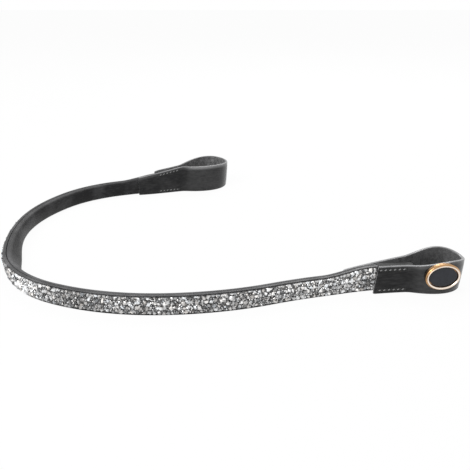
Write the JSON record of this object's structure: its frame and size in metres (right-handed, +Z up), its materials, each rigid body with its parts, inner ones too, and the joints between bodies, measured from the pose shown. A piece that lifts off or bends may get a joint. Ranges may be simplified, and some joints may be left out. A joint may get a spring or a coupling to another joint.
{
  "type": "bridle browband",
  "caption": "Padded leather browband for a bridle, with a crystal-filled front channel, stitched end loops for the headpiece and an oval bare badge.",
  "frame": {"origin": "on the floor under the middle of the bounding box, with the band standing on its lower edge", "axes": "+X to the right along the near arm towards its loop, +Y from the near arm to the far arm, +Z up across the band's width"},
  "size_m": [0.2268, 0.2188, 0.0166],
  "materials": {
    "front_leather": "smooth satin",
    "lining_leather": "soft grain",
    "loop_leather": "smooth satin",
    "strap_webbing": "matte",
    "felt": "matte",
    "carrier_tape": "matte",
    "crystal": "faceted gloss",
    "thread": "waxed",
    "badge_brass": "polished",
    "badge_enamel": "gloss",
    "badge_steel": "brushed"
  },
  "bodies": {
    "brow": {"lining_brow": "lining_leather", "felt_pad_brow": "felt", "core_strap_brow": "strap_webbing", "front_channel_brow": "front_leather", "crystal_carrier_brow": "carrier_tape", "crystal_bed_brow": "crystal"},
    "near_arm": {"lining_near_arm": "lining_leather", "felt_pad_near_arm": "felt", "core_strap_near_arm": "strap_webbing", "front_channel_near_arm": "front_leather", "crystal_carrier_near_arm": "carrier_tape", "crystal_bed_near_arm": "crystal", "near_outer_lap": "loop_leather", "near_inner_lap": "loop_leather", "near_end_tab": "strap_webbing", "near_stitches_outer_lower": "thread", "near_stitches_outer_upper": "thread", "near_stitches_inner_lower": "thread", "near_stitches_inner_upper": "thread"},
    "far_arm": {"lining_far_arm": "lining_leather", "felt_pad_far_arm": "felt", "core_strap_far_arm": "strap_webbing", "front_channel_far_arm": "front_leather", "crystal_carrier_far_arm": "carrier_tape", "crystal_bed_far_arm": "crystal", "far_outer_lap": "loop_leather", "far_inner_lap": "loop_leather", "far_end_tab": "strap_webbing", "far_stitches_outer_lower": "thread", "far_stitches_outer_upper": "thread", "far_stitches_inner_lower": "thread", "far_stitches_inner_upper": "thread"},
    "near_loop": {"near_loop_strap": "loop_leather", "badge_cup": "badge_brass", "badge_rim": "badge_brass", "badge_face": "badge_enamel", "badge_back_plate": "badge_steel"},
    "far_loop": {"far_loop_strap": "loop_leather"}
  },
  "joints": [
    {"name": "near_arm_flex", "type": "hinge", "parent": "brow", "child": "near_arm", "pos_m": [-0.02588, -0.10657, 0], "axis": [0, 0, -1], "range_deg": [-20, 35], "stiffness_Nm_per_rad": 0.3},
    {"name": "far_arm_flex", "type": "hinge", "parent": "brow", "child": "far_arm", "pos_m": [-0.11052, -0.00555, 0], "axis": [0, 0, 1], "range_deg": [-20, 35], "stiffness_Nm_per_rad": 0.3},
    {"name": "near_loop_flex", "type": "hinge", "parent": "near_arm", "child": "near_loop", "pos_m": [0.08606, -0.07993, 0], "axis": [0, 0, -1], "range_deg": [-20, 20], "stiffness_Nm_per_rad": 0.05},
    {"name": "far_loop_flex", "type": "hinge", "parent": "far_arm", "child": "far_loop", "pos_m": [-0.02843, 0.08156, 0], "axis": [0, 0, 1], "range_deg": [-20, 20], "stiffness_Nm_per_rad": 0.05}
  ]
}
